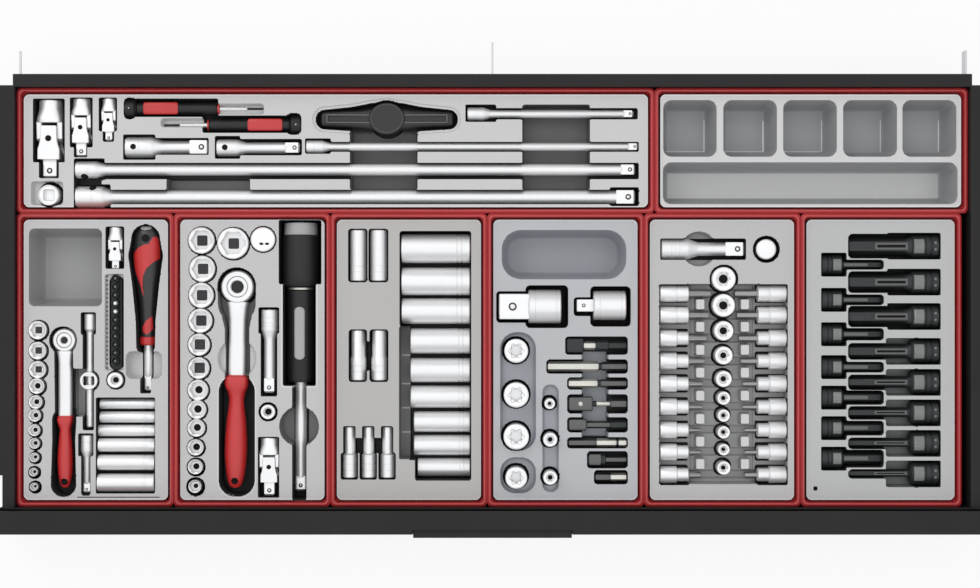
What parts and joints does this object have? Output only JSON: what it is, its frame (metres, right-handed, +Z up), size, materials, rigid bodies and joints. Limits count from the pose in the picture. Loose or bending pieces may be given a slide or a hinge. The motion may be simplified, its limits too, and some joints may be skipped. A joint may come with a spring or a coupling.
{
  "type": "tool cart drawer",
  "caption": "Wide sheet-metal drawer of a tool cart on three-part runners, with lift-out red trays, pocketed grey inserts, storage compartments and the hand tools that lie in them.",
  "frame": {"origin": "middle of the underside of the drawer pan", "axes": "+X to the user's right, -Y to the front where the pull is, +Z up"},
  "size_m": [0.892, 0.4438, 0.068],
  "materials": {
    "charcoal_steel": "powder coated, fine texture",
    "zinc_steel": "zinc plated",
    "red_plastic": "satin, moulded",
    "grey_insert": "matt, fine grained",
    "chrome_steel": "satin chrome plate",
    "black_steel": "black phosphate",
    "black_grip": "matt",
    "red_grip": "gloss"
  },
  "bodies": {
    "cabinet_rails": {"cabinet_member_left": "zinc_steel", "cabinet_member_right": "zinc_steel"},
    "middle_rail_left": {"middle_member_left": "zinc_steel"},
    "middle_rail_right": {"middle_member_right": "zinc_steel"},
    "drawer": {"drawer_pan": "charcoal_steel", "drawer_front": "charcoal_steel", "drawer_pull": "charcoal_steel", "lock_catch": "zinc_steel", "drawer_member_left": "zinc_steel", "drawer_member_right": "zinc_steel"},
    "tray_body_a": {"tray_a": "red_plastic", "insert_a": "grey_insert", "half_joint_socket": "chrome_steel", "three_eighths_joint": "chrome_steel", "quarter_joint": "chrome_steel", "screwdriver_left": "black_grip", "screwdriver_right": "black_grip", "short_bar_half": "chrome_steel", "short_bar_three_eighths": "chrome_steel", "tee_handle": "black_steel", "middle_bar": "chrome_steel", "long_bar": "chrome_steel", "longest_bar_upper": "chrome_steel", "longest_bar_lower": "chrome_steel"},
    "tray_body_b": {"tray_b": "red_plastic", "insert_b": "grey_insert"},
    "tray_body_c": {"tray_c": "red_plastic", "insert_c": "grey_insert", "quarter_ratchet": "chrome_steel", "tee_bar": "chrome_steel", "spinner_handle": "red_grip", "quarter_sockets": "chrome_steel", "quarter_deep_sockets": "chrome_steel", "bit_rack": "black_grip"},
    "tray_body_d": {"tray_d": "red_plastic", "insert_d": "grey_insert", "three_eighths_ratchet": "chrome_steel", "torque_handle": "black_grip", "three_eighths_sockets": "chrome_steel", "short_bar_d": "chrome_steel"},
    "tray_body_e": {"tray_e": "red_plastic", "insert_e": "grey_insert", "deep_sockets_left": "chrome_steel", "deep_sockets_right": "chrome_steel"},
    "tray_body_f": {"tray_f": "red_plastic", "insert_f": "grey_insert", "torx_sockets": "chrome_steel", "bits_f": "chrome_steel"},
    "tray_body_g": {"tray_g": "red_plastic", "insert_g": "grey_insert", "bit_sockets": "chrome_steel", "short_bar_g": "chrome_steel"},
    "tray_body_h": {"tray_h": "red_plastic", "insert_h": "grey_insert", "impact_bit_sockets": "black_steel"},
    "joint_drive": {"half_joint_drive": "chrome_steel"},
    "quarter_drive": {"quarter_ratchet_drive": "chrome_steel"},
    "slider": {"tee_bar_slider": "chrome_steel"},
    "three_eighths_drive": {"three_eighths_ratchet_drive": "chrome_steel"},
    "knob": {"torque_knob": "black_grip"}
  },
  "joints": [
    {"name": "drawer_slide", "type": "slide", "parent": "cabinet_rails", "child": "drawer", "axis": [0, -1, 0], "range_m": [0, 0.35]},
    {"name": "middle_slide_left", "type": "slide", "parent": "cabinet_rails", "child": "middle_rail_left", "axis": [0, -1, 0], "range_m": [0, 0.175]},
    {"name": "middle_slide_right", "type": "slide", "parent": "cabinet_rails", "child": "middle_rail_right", "axis": [0, -1, 0], "range_m": [0, 0.175]},
    {"name": "tray_lift_a", "type": "slide", "parent": "drawer", "child": "tray_body_a", "axis": [0, 0, 1], "range_m": [0, 0.07]},
    {"name": "tray_lift_b", "type": "slide", "parent": "drawer", "child": "tray_body_b", "axis": [0, 0, 1], "range_m": [0, 0.07]},
    {"name": "tray_lift_c", "type": "slide", "parent": "drawer", "child": "tray_body_c", "axis": [0, 0, 1], "range_m": [0, 0.07]},
    {"name": "tray_lift_d", "type": "slide", "parent": "drawer", "child": "tray_body_d", "axis": [0, 0, 1], "range_m": [0, 0.07]},
    {"name": "tray_lift_e", "type": "slide", "parent": "drawer", "child": "tray_body_e", "axis": [0, 0, 1], "range_m": [0, 0.07]},
    {"name": "tray_lift_f", "type": "slide", "parent": "drawer", "child": "tray_body_f", "axis": [0, 0, 1], "range_m": [0, 0.07]},
    {"name": "tray_lift_g", "type": "slide", "parent": "drawer", "child": "tray_body_g", "axis": [0, 0, 1], "range_m": [0, 0.07]},
    {"name": "tray_lift_h", "type": "slide", "parent": "drawer", "child": "tray_body_h", "axis": [0, 0, 1], "range_m": [0, 0.07]},
    {"name": "joint_swing", "type": "hinge", "parent": "tray_body_a", "child": "joint_drive", "pos_m": [-0.401, 0.14354, 0.0368], "axis": [-1, 0, 0], "range_deg": [0, 45]},
    {"name": "quarter_drive_spin", "type": "hinge", "parent": "tray_body_c", "child": "quarter_drive", "pos_m": [-0.38641, -0.03828, 0.0397], "axis": [0, 0, 1], "continuous": true},
    {"name": "slider_travel", "type": "slide", "parent": "tray_body_c", "child": "slider", "axis": [0, 1, 0], "range_m": [-0.03, 0.036]},
    {"name": "three_eighths_drive_spin", "type": "hinge", "parent": "tray_body_d", "child": "three_eighths_drive", "pos_m": [-0.23095, 0.01005, 0.0378], "axis": [0, 0, 1], "continuous": true},
    {"name": "knob_turn", "type": "hinge", "parent": "tray_body_d", "child": "knob", "pos_m": [-0.17458, 0.06855, 0.031], "axis": [0, -1, 0], "continuous": true}
  ],
  "couplings": [
    {"joint": "middle_slide_left", "follows": "drawer_slide", "ratio": 0.5},
    {"joint": "middle_slide_right", "follows": "drawer_slide", "ratio": 0.5}
  ]
}
